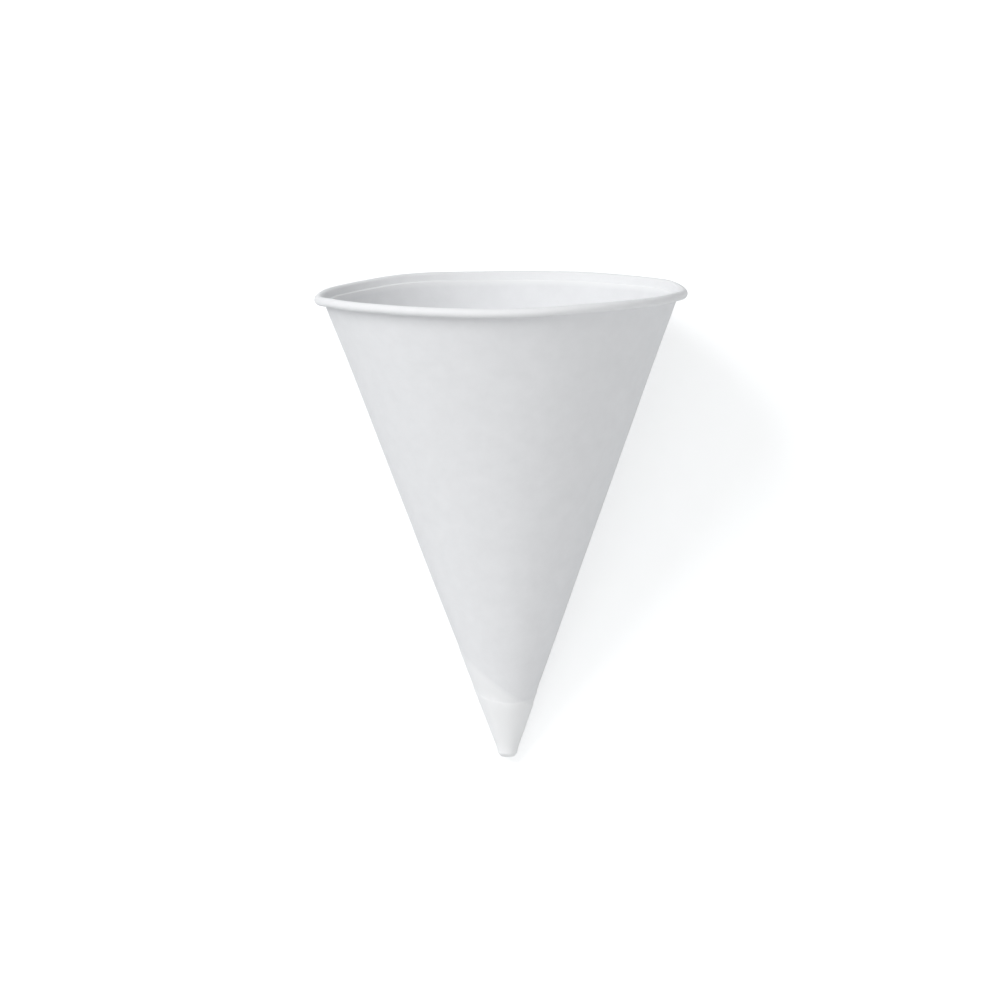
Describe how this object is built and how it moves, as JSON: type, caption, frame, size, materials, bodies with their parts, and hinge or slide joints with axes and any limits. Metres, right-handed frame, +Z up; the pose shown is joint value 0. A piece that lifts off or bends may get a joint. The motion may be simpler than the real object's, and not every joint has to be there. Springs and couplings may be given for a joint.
{
  "type": "cone paper cup",
  "caption": "White cone paper cup with a rolled rim, a glued side lap and a blunt folded tip, lying on its side; holds a drink of water.",
  "frame": {"origin": "on the floor, under the middle of the lying cup's box", "axes": "+Z up from the floor; the cup lies on its back with its mouth towards +Y and its tip towards -Y; +X is to the right when looking from the tip to the mouth"},
  "size_m": [0.07, 0.095, 0.0653],
  "materials": {
    "paper": "matt, uncoated, bleached white"
  },
  "bodies": {
    "root": {"cone_cup": "paper"}
  },
  "joints": []
}
